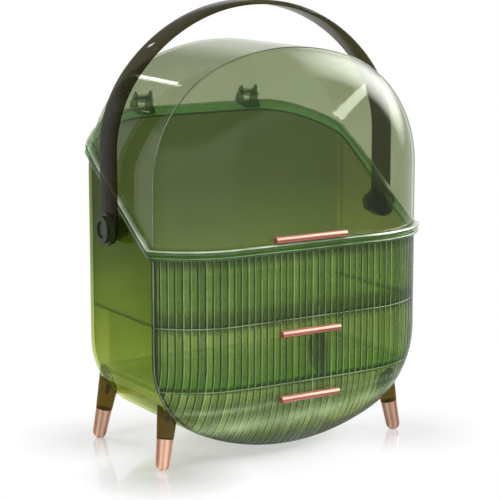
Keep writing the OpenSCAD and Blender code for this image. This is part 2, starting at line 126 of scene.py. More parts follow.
def depth_in(x, z):
    """How far a point of the XZ plane lies inside the egg outline."""
    x = abs(x)
    if z < Z_LOW:
        u, v, corner = x - (HALF_W - BOTTOM_CORNER), Z_LOW - z, BOTTOM_CORNER
        middle, crown_r, angle = BOTTOM_CZ - z, BOTTOM_CROWN, BOTTOM_ANGLE
    elif z > Z_HIGH:
        u, v, corner = x - (HALF_W - TOP_CORNER), z - Z_HIGH, TOP_CORNER
        middle, crown_r, angle = z - TOP_CZ, TOP_CROWN, TOP_ANGLE
    else:
        return HALF_W - x
    if u > 0 and math.atan2(v, u) < angle:
        return corner - math.hypot(u, v)
    return crown_r - math.hypot(x, middle)


def outline_x(z, inset):
    """Half width of the outline drawn in by inset, on its sides and corners."""
    if z < Z_LOW:
        return HALF_W - BOTTOM_CORNER + math.sqrt((BOTTOM_CORNER - inset) ** 2 - (Z_LOW - z) ** 2)
    if z > Z_HIGH:
        return HALF_W - TOP_CORNER + math.sqrt((TOP_CORNER - inset) ** 2 - (z - Z_HIGH) ** 2)
    return HALF_W - inset


def arc(cx, cz, r, a0, a1, steps):
    """Points of an arc from angle a0 to a1, without its last one."""
    turns = [a0 + (a1 - a0) * i / steps for i in range(steps)]
    return [(cx + r * math.cos(q), cz + r * math.sin(q)) for q in turns]


def outline(inset):
    """Points round the egg outline, drawn in by inset."""
    low_x, high_x, pi = HALF_W - BOTTOM_CORNER, HALF_W - TOP_CORNER, math.pi
    low_r, high_r = BOTTOM_CORNER - inset, TOP_CORNER - inset
    climb = [SIDE_H * i / WALL_STEPS for i in range(WALL_STEPS)]
    return (arc(0, BOTTOM_CZ, BOTTOM_CROWN - inset, BOTTOM_ANGLE - pi, -BOTTOM_ANGLE, BOTTOM_STEPS)
            + arc(low_x, Z_LOW, low_r, -BOTTOM_ANGLE, 0, LOW_CORNER_STEPS)
            + [(HALF_W - inset, Z_LOW + up) for up in climb]
            + arc(high_x, Z_HIGH, high_r, 0, TOP_ANGLE, TOP_STEPS)
            + arc(0, TOP_CZ, TOP_CROWN - inset, TOP_ANGLE, pi - TOP_ANGLE, TOP_STEPS)
            + arc(-high_x, Z_HIGH, high_r, pi - TOP_ANGLE, pi, TOP_STEPS)
            + [(inset - HALF_W, Z_HIGH - up) for up in climb]
            + arc(-low_x, Z_LOW, low_r, pi, pi + BOTTOM_ANGLE, LOW_CORNER_STEPS))


def bulge_rings(bulge, inset, side, steps=26):
    """Rings of a bulge from its edge inwards; side is -1 in front and 1 at the back."""
    rings = []
    for i in range(steps + 1):
        depth = inset + (BULGE_RUN - inset) * eased(i, steps)
        y = bulge_y(bulge, inset, side, depth)
        rings.append([(x, y, z) for x, z in outline(depth)])
    return rings


def straight_rings(inset, y0, y1, steps):
    """Rings of the outline from y0 to y1, without the last one."""
    return [[(x, y0 + (y1 - y0) * i / steps, z) for x, z in outline(inset)] for i in range(steps)]


def rim_height(y):
    """Height of the rim line at y."""
    return max(RIM_Z, min(RIM_Z + RIM_SLOPE * (y - RIM_BREAK_Y), RIM_BACK_Z))


# Mesh helpers

def lofted(rings, closed_rings=True, closed_row=False, caps=(False, False)):
    """A mesh through rings of points that have the same number of points."""
    bm = bmesh.new()
    rows = [[bm.verts.new(p) for p in ring] for ring in rings]
    bm.verts.index_update()
    n = len(rings[0])
    for a, b in zip(rows, rows[1:] + ([rows[0]] if closed_row else [])):
        for i in range(n if closed_rings else n - 1):
            j = (i + 1) % n
            bm.faces.new((a[i], a[j], b[j], b[i]))
    if caps[0]:
        bm.faces.new(list(reversed(rows[0])))
    if caps[1]:
        bm.faces.new(rows[-1])
    return bm


def face_out(bm):
    """Turns the faces of a closed mesh outwards."""
    bmesh.ops.recalc_face_normals(bm, faces=bm.faces)


def prism(points, x0, x1, place):
    """A polygon of (u, v) points swept from x0 to x1; place turns (x, u, v) into a point."""
    rings = [[place(x, u, v) for u, v in points] for x in (x0, x1)]
    bm = lofted(rings, caps=(True, True))
    face_out(bm)
    return bm


def revolved(profile, centre, steps=48):
    """A profile of (along, radius) points turned round the X axis through centre."""
    rings = []
    for i in range(steps):
        q = 2 * math.pi * i / steps
        c, s = math.cos(q), math.sin(q)
        rings.append([(centre[0] + u, centre[1] + r * c, centre[2] + r * s) for u, r in profile])
    bm = lofted(rings, closed_rings=False, closed_row=True)
    bmesh.ops.remove_doubles(bm, verts=bm.verts, dist=MERGE)
    face_out(bm)
    return bm


def joined(parts):
    """Several bmeshes as one."""
    whole = bmesh.new()
    for part in parts:
        mesh = bpy.data.meshes.new("part")
        part.to_mesh(mesh)
        part.free()
        whole.from_mesh(mesh)
        bpy.data.meshes.remove(mesh)
    return whole


def outward(bm):
    """Turns all faces of an open sheet to look away from the body's middle."""
    bm.normal_update()
    middle = Vector((0, 0, (Z_BOTTOM + Z_TOP) / 2))
    lean = sum(f.normal.dot(f.calc_center_median() - middle) * f.calc_area() for f in bm.faces)
    if lean < 0:
        bmesh.ops.reverse_faces(bm, faces=bm.faces)


def cut_at_rim(bm, drop, keep_above):
    """Cuts along the rim line moved down by drop, and keeps what is above or below it."""
    up = Vector((0, 0, 1))
    slant = Vector((0, -RIM_SLOPE, 1)).normalized()
    planes = [(Vector((0, 0, RIM_Z - drop)), up),
              (Vector((0, RIM_BREAK_Y, RIM_Z - drop)), slant),
              (Vector((0, 0, RIM_BACK_Z - drop)), up)]
    for point, normal in planes:
        geom = bm.verts[:] + bm.edges[:] + bm.faces[:]
        bmesh.ops.bisect_plane(bm, geom=geom, plane_co=point, plane_no=normal, dist=MERGE)
    gone = []
    for face in bm.faces:
        c = face.calc_center_median()
        if (c.z > rim_height(c.y) - drop) != keep_above:
            gone.append(face)
    bmesh.ops.delete(bm, geom=gone, context="FACES")


def mark(bm, name, value):
    """Writes value(vertex) on every vertex, for a material to read by name."""
    layer = bm.verts.layers.float.get(name) or bm.verts.layers.float.new(name)
    for vert in bm.verts:
        vert[layer] = value(vert)


def new_object(name, bm, material):
    """A bmesh as an object of the scene."""
    mesh = bpy.data.meshes.new(name)
    bm.to_mesh(mesh)
    bm.free()
    mesh.materials.append(material)
    thing = bpy.data.objects.new(name, mesh)
    SCENE.collection.objects.link(thing)
    return thing


def add_piece(name, bm, material, body, sharp=32):
    """A piece riding on its body, smooth but for edges that turn by sharp degrees or more."""
    for face in bm.faces:
        face.smooth = True
    limit = math.radians(sharp)
    for edge in bm.edges:
        edge.smooth = len(edge.link_faces) != 2 or edge.calc_face_angle(0) < limit
    piece = new_object(name, bm, material)
    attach(piece, body)
    return piece


def thicken(piece, thickness):
    """Gives a sheet its wall, inwards from its outer face."""
    wall = piece.modifiers.new("wall", "SOLIDIFY")
    wall.thickness = thickness
    wall.offset = -1
    wall.use_even_offset = True


def soften(piece, width, segments=2, angle=40):
    """Rounds the edges that turn by angle degrees or more."""
    edge = piece.modifiers.new("edge", "BEVEL")
    edge.width = width
    edge.segments = segments
    edge.limit_method = "ANGLE"
    edge.angle_limit = math.radians(angle)
    edge.harden_normals = True


# Materials

class Nodes:
    """A short way to make and link shader nodes."""

    def __init__(self, tree):
        self.tree = tree

    def new(self, kind):
        return self.tree.nodes.new("ShaderNode" + kind)

    def add(self, kind, **sockets):
        node = self.new(kind)
        for name, value in sockets.items():
            self.put(node.inputs[name.replace("_", " ")], value)
        return node

    def put(self, socket, value):
        """Links a socket to another node's output, or sets its constant."""
        if hasattr(value, "node"):
            self.tree.links.new(value, socket)
        else:
            socket.default_value = value

    def fill(self, node, values):
        """Puts values into a node's first inputs and gives its outputs."""
        for socket, value in zip(node.inputs, values):
            self.put(socket, value)
        return node.outputs

    def maths(self, operation, *values):
        node = self.new("Math")
        node.operation = operation
        return self.fill(node, values)[0]

    def vector_maths(self, operation, *values):
        node = self.new("VectorMath")
        node.operation = operation
        return self.fill(node, values)["Value" if operation == "DISTANCE" else "Vector"]

    def mix_shader(self, *values):
        return self.fill(self.new("MixShader"), values)[0]

    def mix_colour(self, factor, first, second, kind="MIX"):
        node = self.new("Mix")
        node.data_type = "RGBA"
        node.blend_type = kind
        self.put(node.inputs[0], factor)
        self.put(node.inputs[6], first)
        self.put(node.inputs[7], second)
        return node.outputs[2]

    def coords(self, kind="Object"):
        return self.new("TexCoord").outputs[kind]

    def split(self, vector):
        """The X, Y and Z outputs of a vector."""
        node = self.new("SeparateXYZ")
        self.put(node.inputs[0], vector)
        return node.outputs

    def noise(self, scale, detail, stretch=None):
        coords = self.coords()
        if stretch:
            mapping = self.add("Mapping", Scale=stretch)
            self.put(mapping.inputs["Vector"], coords)
            coords = mapping.outputs["Vector"]
        node = self.add("TexNoise", Scale=scale, Detail=detail)
        self.put(node.inputs["Vector"], coords)
        return node.outputs["Fac"]

    def marked(self, name):
        """What mark() wrote on the vertices, or 0 where it wrote nothing."""
        node = self.new("Attribute")
        node.attribute_name = name
        return node.outputs["Fac"]

    def height(self):
        """Height on the object, 0 at the floor and 1 at the top of the egg."""
        return self.maths("DIVIDE", self.split(self.coords())["Z"], Z_TOP)

    def half_share(self, value):
        """A value that runs from -1 to 1, brought to 0 to 1."""
        return self.maths("MULTIPLY_ADD", value, 0.5, 0.5)

    def ramp(self, factor, stops):
        node = self.new("ValToRGB")
        while len(node.color_ramp.elements) < len(stops):
            node.color_ramp.elements.new(0.5)
        for element, (place, colour) in zip(node.color_ramp.elements, stops):
            element.position = place
            element.color = (*colour, 1)
        self.put(node.inputs[0], factor)
        return node.outputs["Color"]

    def bump(self, height, distance, strength):
        node = self.add("Bump", Strength=strength, Distance=distance)
        self.put(node.inputs["Height"], height)
        return node.outputs["Normal"]


def new_material(name):
    """A new material, its nodes and the surface socket of its output."""
    material = bpy.data.materials.new(name)
    material.use_nodes = True
    material.node_tree.nodes.clear()
    n = Nodes(material.node_tree)
    return material, n, n.new("OutputMaterial").inputs["Surface"]


def srgb(r, g, b):
    """A colour given as 0 to 255 screen values, in the linear values that shaders use."""
    def linear(v):
        v /= 255
        return v / 12.92 if v <= 0.04045 else ((v + 0.055) / 1.055) ** 2.4
    return (linear(r), linear(g), linear(b))


def greys(*stops):
    """Ramp stops of plain greys, from (place, value) pairs."""
    return [(place, (value, value, value)) for place, value in stops]


def one_tone(*colour):
    """Ramp stops that are one colour from end to end."""
    return [(0.0, colour), (1.0, colour)]


# Darker tint for marked ribs, also used as painted shade on the casing's upper back
RIB_AND_SHADE_TINT = (0.22, 0.30, 0.16, 1)
# Painted shade for grooves, creases and dark edges
PAINTED_SHADE_TINT = (0.02, 0.035, 0.01, 1)
SHADOW_TINT = (0.86, 0.86, 0.86, 1)


def wall_tint(n, facing, stops, deep):
    """Colour that one pass through a face gives: deeper at a slant, darker on marked ribs, with painted shade
    where marked.
    """
    tint = n.ramp(n.height(), stops)
    cloud = n.ramp(n.noise(9, 3), greys((0.3, 0.94), (0.7, 1)))
    tint = n.mix_colour(1.0, tint, cloud, "MULTIPLY")
    steep = n.maths("MULTIPLY", n.maths("POWER", facing, 3.0), deep)
    tint = n.mix_colour(steep, tint, tint, "MULTIPLY")
    tint = n.mix_colour(n.maths("MULTIPLY", n.marked("tone"), 0.6), tint, RIB_AND_SHADE_TINT)
    # Painted shade where vertices are marked for it
    return n.mix_colour(n.maths("MULTIPLY", n.marked("groove"), 0.8), tint, PAINTED_SHADE_TINT)


def clear_plastic(name, stops, body, matt, mirror, grazing, deep=0.6, shine_tone=(1, 1, 1),
                  painted_light_tone=(0.80, 0.90, 0.72)):
    """See-through moulded plastic: stops give its tint by height for one pass through a face.

    A share matt of it has the plain colour body. Its shine is mirror where seen square on, and a
    slant adds up to grazing. Vertices marked for shade get painted shade, as dark as a crease; those
    marked for light get a painted highlight of pale matt colour; and "tone" darkens a rib a little, or paints
    shade on the casing's upper back.
    """
    material, n, surface = new_material(name)
    facing = n.add("LayerWeight", Blend=0.5).outputs["Facing"]
    ripple = n.bump(n.noise(26, 1), 0.0004, 0.25)
    through = n.add("BsdfTransparent", Color=wall_tint(n, facing, stops, deep)).outputs[0]
    solid = n.add("BsdfPrincipled", Base_Color=(*body, 1), Roughness=0.4, Normal=ripple).outputs[0]
    whole = n.mix_shader(matt, through, solid)
    # Painted highlight: pale matt colour mixed in, in noisy patches, where vertices are marked for light
    painted_highlight = n.add("BsdfPrincipled", Base_Color=(*painted_light_tone, 1), Roughness=0.35).outputs[0]
    patches = n.ramp(n.noise(22, 2), greys((0.38, 0.35), (0.62, 0.9)))
    whole = n.mix_shader(n.maths("MULTIPLY", n.marked("painted_light"), patches), whole, painted_highlight)
    shine = n.add("BsdfGlossy", Color=(*shine_tone, 1), Roughness=0.03, Normal=ripple).outputs[0]
    sheer = n.maths("MULTIPLY", n.maths("POWER", facing, 5.0), grazing)
    whole = n.mix_shader(n.maths("ADD", sheer, mirror), whole, shine)
    shade = n.add("BsdfTransparent", Color=SHADOW_TINT).outputs[0]
    n.put(surface, n.mix_shader(n.new("LightPath").outputs["Is Shadow Ray"], whole, shade))
    return material


def metal(name, stops, roughness, metallic=1.0, axis="Z"):
    """Plated metal with faint clouds and brush marks; stops paint its reflections as light and dark tones by
    which way it faces.
    """
    material, n, surface = new_material(name)
    facing = n.split(n.new("NewGeometry").outputs["Normal"])[axis]
    cloud = n.ramp(n.noise(60, 3), greys((0.35, 0.93), (0.6, 1)))
    tone = n.mix_colour(1.0, n.ramp(n.half_share(facing), stops), cloud, "MULTIPLY")
    brush = n.maths("MULTIPLY", n.noise(900, 2, (0.15, 1, 1)), 0.06)
    shader = n.add("BsdfPrincipled", Base_Color=tone, Metallic=metallic,
                   Roughness=n.maths("ADD", brush, roughness))
    n.put(surface, shader.outputs[0])
    return material


# Painted shade: the shell's tint darkens from the floor towards the top
SHELL_SHADE_STOPS = [(0.0, (0.84, 0.86, 0.56)), (0.20, (0.83, 0.87, 0.55)), (0.30, (0.72, 0.78, 0.42)),
               (0.45, (0.56, 0.63, 0.32)), (0.62, (0.42, 0.47, 0.235)), (0.80, (0.38, 0.43, 0.235))]
# Painted shade and light by height on the fronts: dark at the foot, a pale band low on the lower drawer, and
# dark bands at the shelf and at the compartment floor
FRONT_SHADE_AND_LIGHT_STOPS = [(0.03, (0.30, 0.42, 0.22)), (0.055, (0.50, 0.60, 0.36)), (0.085, (0.90, 0.94, 0.74)),
               (0.13, (0.80, 0.87, 0.66)), (0.16, (0.62, 0.70, 0.52)), (0.198, (0.72, 0.80, 0.62)),
               (0.204, (0.40, 0.70, 0.14)), (0.245, (0.64, 0.78, 0.48)), (0.355, (0.70, 0.78, 0.58)),
               (0.362, (0.38, 0.44, 0.25)), (0.386, (0.46, 0.56, 0.31)), (0.405, (0.67, 0.80, 0.55)),
               (0.54, (0.66, 0.78, 0.57))]
INNER_STOPS = one_tone(0.96, 0.98, 0.90)
LID_STOPS = one_tone(0.745, 0.775, 0.67)
RIM_STOPS = [(0.5, (0.46, 0.62, 0.36)), (0.8, (0.36, 0.58, 0.28))]
SMOKY_STOPS = [(0.6, (0.34, 0.32, 0.16)), (0.9, (0.27, 0.26, 0.17))]
KNOB_STOPS = one_tone(0.42, 0.50, 0.26)
AMBER_STOPS = [(0.0, (0.48, 0.36, 0.02)), (0.2, (0.34, 0.30, 0.015))]
# Painted reflections on the metals: light and dark bands by which way each face looks
CAP_REFLECTION_STOPS = [(0.02, srgb(206, 140, 108)), (0.10, srgb(255, 226, 200)), (0.22, srgb(214, 150, 118)),
             (0.42, srgb(252, 214, 190)), (0.62, srgb(188, 118, 96)), (0.9, srgb(244, 200, 178))]
BAR_REFLECTION_STOPS = [(0.05, srgb(128, 66, 52)), (0.28, srgb(214, 130, 114)), (0.42, srgb(150, 84, 68)),
             (0.58, srgb(176, 98, 84)), (0.7, srgb(255, 226, 208)), (0.9, srgb(240, 170, 150))]
STEEL_REFLECTION_STOPS = [(0.3, srgb(176, 176, 172)), (0.7, srgb(204, 204, 200))]

shell = clear_plastic("shell_green", SHELL_SHADE_STOPS, srgb(84, 104, 24), matt=0.06, mirror=0.01,
                      grazing=0.8, shine_tone=(0.75, 0.85, 0.5))
front = clear_plastic("front_green", FRONT_SHADE_AND_LIGHT_STOPS, srgb(96, 128, 72), matt=0.08, mirror=0.02,
                      grazing=0.8, painted_light_tone=(0.62, 0.82, 0.46))
inner = clear_plastic("inner_green", INNER_STOPS, srgb(120, 160, 76), matt=0.04, mirror=0.01,
                      grazing=0.15, deep=0.2, painted_light_tone=(0.70, 0.84, 0.46))
rim = clear_plastic("rim_green", RIM_STOPS, srgb(60, 92, 52), matt=0.12, mirror=0.05,
                    grazing=0.9)
clear = clear_plastic("lid_clear", LID_STOPS, srgb(128, 140, 112), matt=0.015, mirror=0.022,
                      grazing=0.6, deep=0.35)
smoky = clear_plastic("handle_smoky", SMOKY_STOPS, srgb(56, 50, 22), matt=0.08, mirror=0.012,
                      grazing=0.4, deep=1.0)
knob = clear_plastic("knob_olive", KNOB_STOPS, srgb(44, 56, 24), matt=0.2, mirror=0.03,
                     grazing=0.6)
amber = clear_plastic("leg_amber", AMBER_STOPS, srgb(80, 64, 4), matt=0.35, mirror=0.01,
                      grazing=0.3)
rose_cap = metal("cap_rose_gold", CAP_REFLECTION_STOPS, roughness=0.14, metallic=0.7, axis="X")
rose_bar = metal("bar_rose_gold", BAR_REFLECTION_STOPS, roughness=0.16, metallic=0.5)
steel = metal("screw_steel", STEEL_REFLECTION_STOPS, roughness=0.25)

# Casing: one skin from its open front round the bulged back

CASING_LIP = 0.004
LIP_PAINTED_SHADE = 0.9
BACK_PAINTED_SHADE = 0.45
BACK_PAINTED_SHADE_Z = 0.17

skin = lofted(straight_rings(0, Y_FRONT, Y_FRONT + CASING_LIP, 2)
              + straight_rings(0, Y_FRONT + CASING_LIP, Y_BACK, 16)
              + bulge_rings(BACK_BULGE, 0, 1), caps=(False, True))
outward(skin)
cut_at_rim(skin, RIM_H, False)
lip_y = Y_FRONT + 0.7 * CASING_LIP
wall_y = Y_BACK + CASING_LIP
# Painted shade: dark along the casing's front lip and darker over the upper back wall
mark(skin, "groove", lambda vert: LIP_PAINTED_SHADE if vert.co.y < lip_y else 0.0)
mark(skin, "tone", lambda vert: BACK_PAINTED_SHADE if vert.co.y > wall_y and vert.co.z > BACK_PAINTED_SHADE_Z else 0.0)
casing = add_piece("casing_shell", skin, shell, "casing")
thicken(casing, WALL)
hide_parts("casing")

# Ledges on the side walls, under the compartment's floor and under the shelf

LEDGE_W = 0.0045
LEDGE_T = 0.0025
LEDGE_SUNK = 0.0005
LEDGE_END = 0.002


def make_ledge(name, z, s):
    """A ledge along one side wall with its top at z."""
    x1 = outline_x(z - LEDGE_T, WALL) + LEDGE_SUNK
    x0 = x1 - LEDGE_W
    section = [(x0, z - LEDGE_T), (x1, z - LEDGE_T), (x1, z), (x0, z)]
    bm = prism(section, Y_FRONT + LEDGE_END, Y_BACK - LEDGE_END, lambda y, x, zz: (s * x, y, zz))
    soften(add_piece(name, bm, shell, "casing"), 0.0006)


for side, s in SIDES:
    make_ledge(f"tray_ledge_{side}", TRAY_Z, s)
    make_ledge(f"shelf_ledge_{side}", SHELF_Z - SHELF_T, s)

# Boss that carries each pivot, and the runners under the lower drawer

PIVOT = Vector((0, -0.002, 0.227))
ARM_X = HALF_W + 0.0061
BOSS_BORE = 0.0045
BOSS_R = 0.011
BOSS_OUT = 0.0059
BOSS_EDGE = 0.0005
BOSS = [(0, BOSS_BORE), (0, 0.0135), (0.0008, 0.0118), (0.0022, BOSS_R),
        (BOSS_OUT - BOSS_EDGE, BOSS_R), (BOSS_OUT, BOSS_R - BOSS_EDGE), (BOSS_OUT, BOSS_BORE), (0, BOSS_BORE)]
RUNNER_X = 0.056
RUNNER_HALF = 0.0035
RUNNER_H = 0.0042
RUNNER_SUNK = 0.0005
RUNNER_END = 0.004
RUNNER_Z = BOTTOM_CZ - math.sqrt((BOTTOM_CROWN - RUNNER_SUNK) ** 2 - RUNNER_X ** 2)
RUNNER = [(-RUNNER_HALF, 0), (RUNNER_HALF, 0), (RUNNER_HALF, RUNNER_H), (-RUNNER_HALF, RUNNER_H)]
for side, s in SIDES:
    bm = revolved([(s * u, r) for u, r in BOSS], (s * HALF_W, PIVOT.y, PIVOT.z))
    add_piece(f"pivot_boss_{side}", bm, shell, "casing")
    bm = prism(RUNNER, Y_FRONT + RUNNER_END, Y_BACK - RUNNER_END,
               lambda y, u, v: (s * (RUNNER_X + u), y, RUNNER_Z + v))
    add_piece(f"drawer_runner_{side}", bm, shell, "casing")

# Collar: a double bead swept along the slanted rim

UPPER_R = 0.0023
LOWER_R = 0.0015
LOWER_OUT = 0.0046
COLLAR_EDGE = 0.0006
HOLLOW = (-0.0022, -0.0052)
FLAT_SHARE = 0.45
RIM_END_STEPS = 72
RIM_SIDE_STEPS = 36


def bead(cx, cz, r, steps):
    """Half round of a bead's section that stands out to -x, from its top to its bottom."""
    turns = [math.radians(90 - 180 * i / steps) for i in range(steps + 1)]
    return [(cx - r * math.cos(q), cz + r * math.sin(q)) for q in turns]


# Section of the collar as (inset from the outline, height above the rim line)
COLLAR = ([(WALL, -COLLAR_EDGE), (WALL - COLLAR_EDGE, 0.0)]
          + bead(UPPER_R - RIM_OUT, -UPPER_R, UPPER_R, 8)
          + [HOLLOW]
          + bead(LOWER_R - LOWER_OUT, LOWER_R - RIM_H, LOWER_R, 6)
          + [(WALL, -RIM_H)])
# Painted highlights: how pale the crests of the two beads look, by their place in the section
CREST_HIGHLIGHTS = {2: 0.6, 3: 1.0, 4: 1.0, 13: 0.6}


def back_point(x_share, inset, dz):
    """Point of the back bulge on the rim line moved by dz; x_share runs from -1 to 1."""
    z = rim_height(Y_BACK) + dz
    x = x_share * outline_x(z, inset)
    y = Y_BACK
    for _ in range(60):
        y += 0.5 * (Y_BACK + rise(BACK_BULGE, inset, depth_in(x, z)) - y)
        z = rim_height(y) + dz
    return (x, y, z)


def front_point(share, inset, z):
    """Point of the front bulge at height z; share runs from -1 to 1 along its plan."""
    if abs(share) < FLAT_SHARE:
        return (share / FLAT_SHARE * (HALF_W - BULGE_RUN), Y_FRONT - FRONT_BULGE + inset, z)
    depth = inset + (BULGE_RUN - inset) * eased(1 - abs(share), 1 - FLAT_SHARE)
    x = math.copysign(HALF_W - depth, share)
    return (x, Y_FRONT - rise(FRONT_BULGE, inset, depth), z)


def side_points(inset, dz, y0, y1, s):
    """Points of the rim line along one side wall from y0 to y1, without the last one."""
    ys = [y0 + (y1 - y0) * i / RIM_SIDE_STEPS for i in range(RIM_SIDE_STEPS)]
    return [(s * outline_x(rim_height(y) + dz, inset), y, rim_height(y) + dz) for y in ys]


def rim_ring(inset, dz):
    """Closed row of points round the body on the rim line, drawn in by inset and moved by dz."""
    steps = range(RIM_END_STEPS)
    return ([front_point(2 * i / RIM_END_STEPS - 1, inset, RIM_Z + dz) for i in steps]
            + side_points(inset, dz, Y_FRONT, Y_BACK, 1)
            + [back_point(math.cos(math.pi * i / RIM_END_STEPS), inset, dz) for i in steps]
            + side_points(inset, dz, Y_BACK, Y_FRONT, -1))


bm = lofted([rim_ring(inset, dz) for inset, dz in COLLAR], closed_row=True)
per_ring = len(bm.verts) // len(COLLAR)
mark(bm, "painted_light", lambda vert: CREST_HIGHLIGHTS.get(vert.index // per_ring, 0.0))
face_out(bm)
collar = add_piece("rim_collar_bead", bm, rim, "casing", 50)
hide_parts("rim_collar")

# Hinge: fin-shaped ears on the collar, knuckles on the lid

HINGE_Y = 0.107
HINGE_Z = RIM_BACK_Z + 0.008
HINGE_X = 0.0627
EAR_T = 0.0024
EAR_X = 0.0086
# Side view of a fin and of the bridge between two fins, as (behind the pin, above the rim)
FIN = [(-0.012, -0.007), (0.008, -0.003), (0.008, 0.0025), (0.0045, 0.0065), (0.0015, 0.0108),
       (-0.0015, 0.0144), (-0.0028, 0.0150), (-0.0042, 0.0148), (-0.005, 0.0136), (-0.0055, 0.002)]
BRIDGE = [(-0.012, 0.001 - RIM_H), (0.008, -0.004), (0.008, 0.0), (-0.0052, 0.0), (-0.012, 0.0)]
KNUCKLE_HALF = EAR_X - EAR_T / 2 - 0.0003
KNUCKLE_R = 0.0034
KNUCKLE_BORE = 0.00155
KNUCKLE_EDGE = 0.0004
LUG_T = 0.003
LUG_FAR = 0.0125
LUG_NEAR = 0.0015


def make_ears():
    """Two pairs of fins, each pair joined by its bridge."""
    def place(x, u, v):
        return (x, HINGE_Y + u, RIM_BACK_Z + v)

    parts = []
    for s in (-1, 1):
        for e in (-1, 1):
            x = s * HINGE_X + e * EAR_X
            parts.append(prism(FIN, x - EAR_T / 2, x + EAR_T / 2, place))
        parts.append(prism(BRIDGE, s * HINGE_X - EAR_X, s * HINGE_X + EAR_X, place))
    soften(add_piece("hinge_ears", joined(parts), rim, "casing"), 0.0005)


def make_knuckles():
    """The lid's two bored knuckles, each on a lug that reaches to the dome."""
    half, low = KNUCKLE_HALF, KNUCKLE_R - KNUCKLE_EDGE
    profile = [(-half, KNUCKLE_BORE), (-half, low), (KNUCKLE_EDGE - half, KNUCKLE_R),
               (half - KNUCKLE_EDGE, KNUCKLE_R), (half, low), (half, KNUCKLE_BORE),
               (-half, KNUCKLE_BORE)]
    lug = [(-LUG_FAR, -KNUCKLE_R), (-LUG_NEAR, -KNUCKLE_R),
           (-LUG_NEAR, LUG_T - KNUCKLE_R), (-LUG_FAR, LUG_T - KNUCKLE_R)]
    parts = []
    for s in (-1, 1):
        parts.append(revolved(profile, (s * HINGE_X, HINGE_Y, HINGE_Z), 32))
        parts.append(prism(lug, s * HINGE_X - half, s * HINGE_X + half,
                           lambda x, u, v: (x, HINGE_Y + u, HINGE_Z + v)))
    add_piece("lid_knuckles", joined(parts), clear, "lid")


make_ears()
make_knuckles()

# Lid: the upper part of the egg

bm = lofted(list(reversed(bulge_rings(FRONT_BULGE, LID_GAP, -1)))
            + straight_rings(LID_GAP, Y_FRONT, Y_BACK, 14)[1:]
            + bulge_rings(BACK_BULGE, LID_GAP, 1), caps=(True, True))
outward(bm)
cut_at_rim(bm, 0, True)
lid = add_piece("lid_dome", bm, clear, "lid", 24)
thicken(lid, LID_WALL)
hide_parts("lid")

# Round lips along the front edges of the lid and the casing

LIP_SIDES = 8
CREASE_R = 0.0006
CREASE_SUNK = 0.0005
CREASE_START = RIM_Z + 0.001
LIP_R = 0.0009


def make_lip(name, inset, r, keep, body):
    """A thin round lip along the outline at the front edge, where keep(z) is true."""
    points = [p for p in outline(inset) if keep(p[1])]
    start = max(range(len(points)), key=lambda i: math.dist(points[i], points[i - 1]))
    points = points[start:] + points[:start]
    turns = [2 * math.pi * k / LIP_SIDES for k in range(LIP_SIDES)]
    rings = []
    for i, (x, z) in enumerate(points):
        before, after = points[max(i - 1, 0)], points[min(i + 1, len(points) - 1)]
        tx, tz = after[0] - before[0], after[1] - before[1]
        size = math.hypot(tx, tz)
        nx, nz = tz / size, -tx / size
        rings.append([(x + r * math.cos(q) * nx, Y_FRONT + r * math.sin(q), z + r * math.cos(q) * nz)
                      for q in turns])
    bm = lofted(rings, caps=(True, True))
    # Painted highlight on the lip's outer front side, painted shade on its inner back side
    mark(bm, "painted_light", lambda vert: 0.35 if vert.index % LIP_SIDES in (7, 0) else 0.0)
    mark(bm, "groove", lambda vert: 1.0 if vert.index % LIP_SIDES in (2, 3, 4) else 0.0)
    face_out(bm)
    add_piece(name, bm, rim, body, 60)


make_lip("lid_front_crease", LID_GAP + CREASE_SUNK, CREASE_R, lambda z: z > CREASE_START,
         "lid")
make_lip("casing_front_lip", LIP_R, LIP_R, lambda z: z < RIM_Z - RIM_H, "casing")

# Fluted fronts

FLUTES = 45
FLUTE_DEPTH = 0.001
PER_FLUTE = 12
SHALLOW_SHARE = 0.4
# Painted shade: where it starts across each rib, towards its grooves
GROOVE_FROM = 0.85
EDGE_R = 0.0009
EDGE_TURNS = (30, 60, 90)
# Widths of the painted shade strips along a front's sides and foot
SIDE_STRIP = 0.0022
FOOT_STRIP = 0.0028
OUTER_STOP = 0.0002
INNER_STOP = 0.0001
SLOPE_STEP = 0.0003
# Painted highlights: a line on each rib at one step, on the round top edge, and the share of the painted
# sheen on the outer face
PAINTED_RIB_HIGHLIGHT = 0.4
PAINTED_RIB_HIGHLIGHT_STEP = 3
PAINTED_TOP_HIGHLIGHT = 0.4
OUTER_PAINTED_SHEEN = 0.7
FRONT_R = bulge_radius(FRONT_BULGE)
FLAT_HALF = HALF_W - BULGE_RUN
RUN_LENGTH = 2 * FRONT_R * math.asin(BULGE_RUN / FRONT_R) + 2 * FLAT_HALF


def rib_tone(rib):
    """How dark a rib looks: neighbours differ, as in the photo."""
    return max(0.0, 0.3 + 0.2 * math.sin(2.4 * rib) + 0.2 * math.sin(4.3 * rib))


def plan_x(s):
    """X of a point of the front's plan curve, s along the curve from its middle."""
    if abs(s) < FLAT_HALF:
        return s
    return math.copysign(FLAT_HALF + FRONT_R * math.sin((abs(s) - FLAT_HALF) / FRONT_R), s)


def across(i):
    """Place of step i across its rib, -1 to 1, with the steps closer together near the grooves."""
    return -math.cos(math.pi * (i % PER_FLUTE) / PER_FLUTE)


def flute(i):
    """How deep the face lies at step i: a shallow round over the rib, a steep one at its grooves."""
    u = across(i)
    steep = 1 - math.sqrt(max(0, 1 - u ** 4))
    return FLUTE_DEPTH * (SHALLOW_SHARE * u * u + (1 - SHALLOW_SHARE) * steep)


